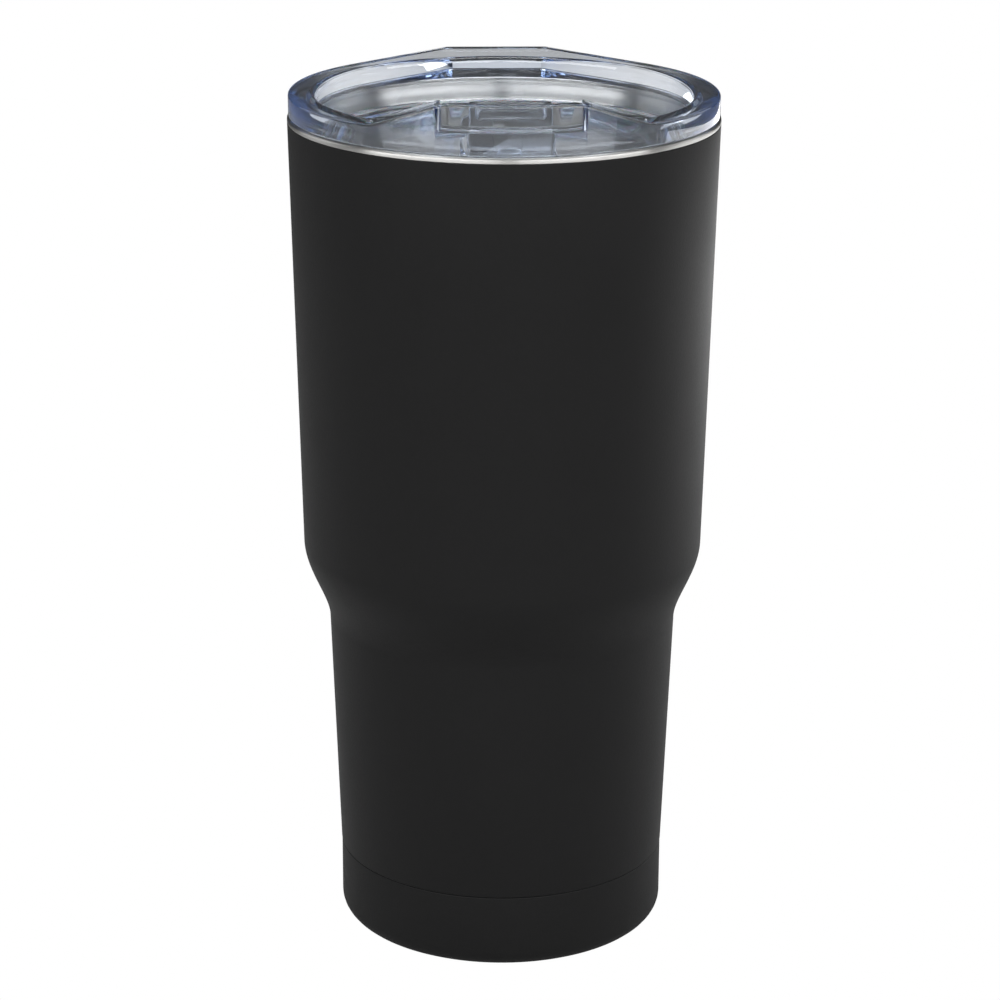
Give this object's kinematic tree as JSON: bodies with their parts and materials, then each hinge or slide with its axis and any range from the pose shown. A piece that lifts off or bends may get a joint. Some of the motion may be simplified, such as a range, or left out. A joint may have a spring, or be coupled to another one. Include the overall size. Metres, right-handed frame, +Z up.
{
  "type": "insulated tumbler with lid",
  "caption": "Tall stepped steel tumbler with double vacuum walls and a clear press-in lid that has a raised drinking side, a lift tab and a slide closure.",
  "frame": {"origin": "centre of the flat underside of the base", "axes": "+Z up along the cup's axis, -Y towards the drinking side of the lid, +Y towards its lift tab"},
  "size_m": [0.1016, 0.1098, 0.2128],
  "materials": {
    "coating": "matte black powder coat with a fine even grain",
    "steel": "bare stainless steel, satin, brushed round the cup",
    "foil": "bright copper-coloured reflecting foil",
    "solder": "dull solder",
    "getter": "pressed dark metal powder",
    "clear_plastic": "clear, glossy, with a faint blue tint in thick sections",
    "silicone": "translucent satin silicone"
  },
  "bodies": {
    "cup": {"outer_shell": "coating", "base_cap": "coating", "inner_liner": "steel", "foil_wrap": "foil", "vacuum_pan": "steel", "seal_bead": "solder", "getter_pellet": "getter"},
    "gasket": {"lid_gasket": "silicone"},
    "lid": {"lid_cover": "clear_plastic"},
    "slider": {"slider": "clear_plastic", "slider_clip": "clear_plastic"}
  },
  "joints": [
    {"name": "lid_lift", "type": "slide", "parent": "cup", "child": "gasket", "axis": [0, 0, 1], "range_m": [0, 0.08]},
    {"name": "lid_turn", "type": "hinge", "parent": "gasket", "child": "lid", "pos_m": [0, 0, 0.1935], "axis": [0, 0, 1], "continuous": true},
    {"name": "slider_slide", "type": "slide", "parent": "lid", "child": "slider", "axis": [0, 1, 0], "range_m": [0, 0.014]}
  ]
}
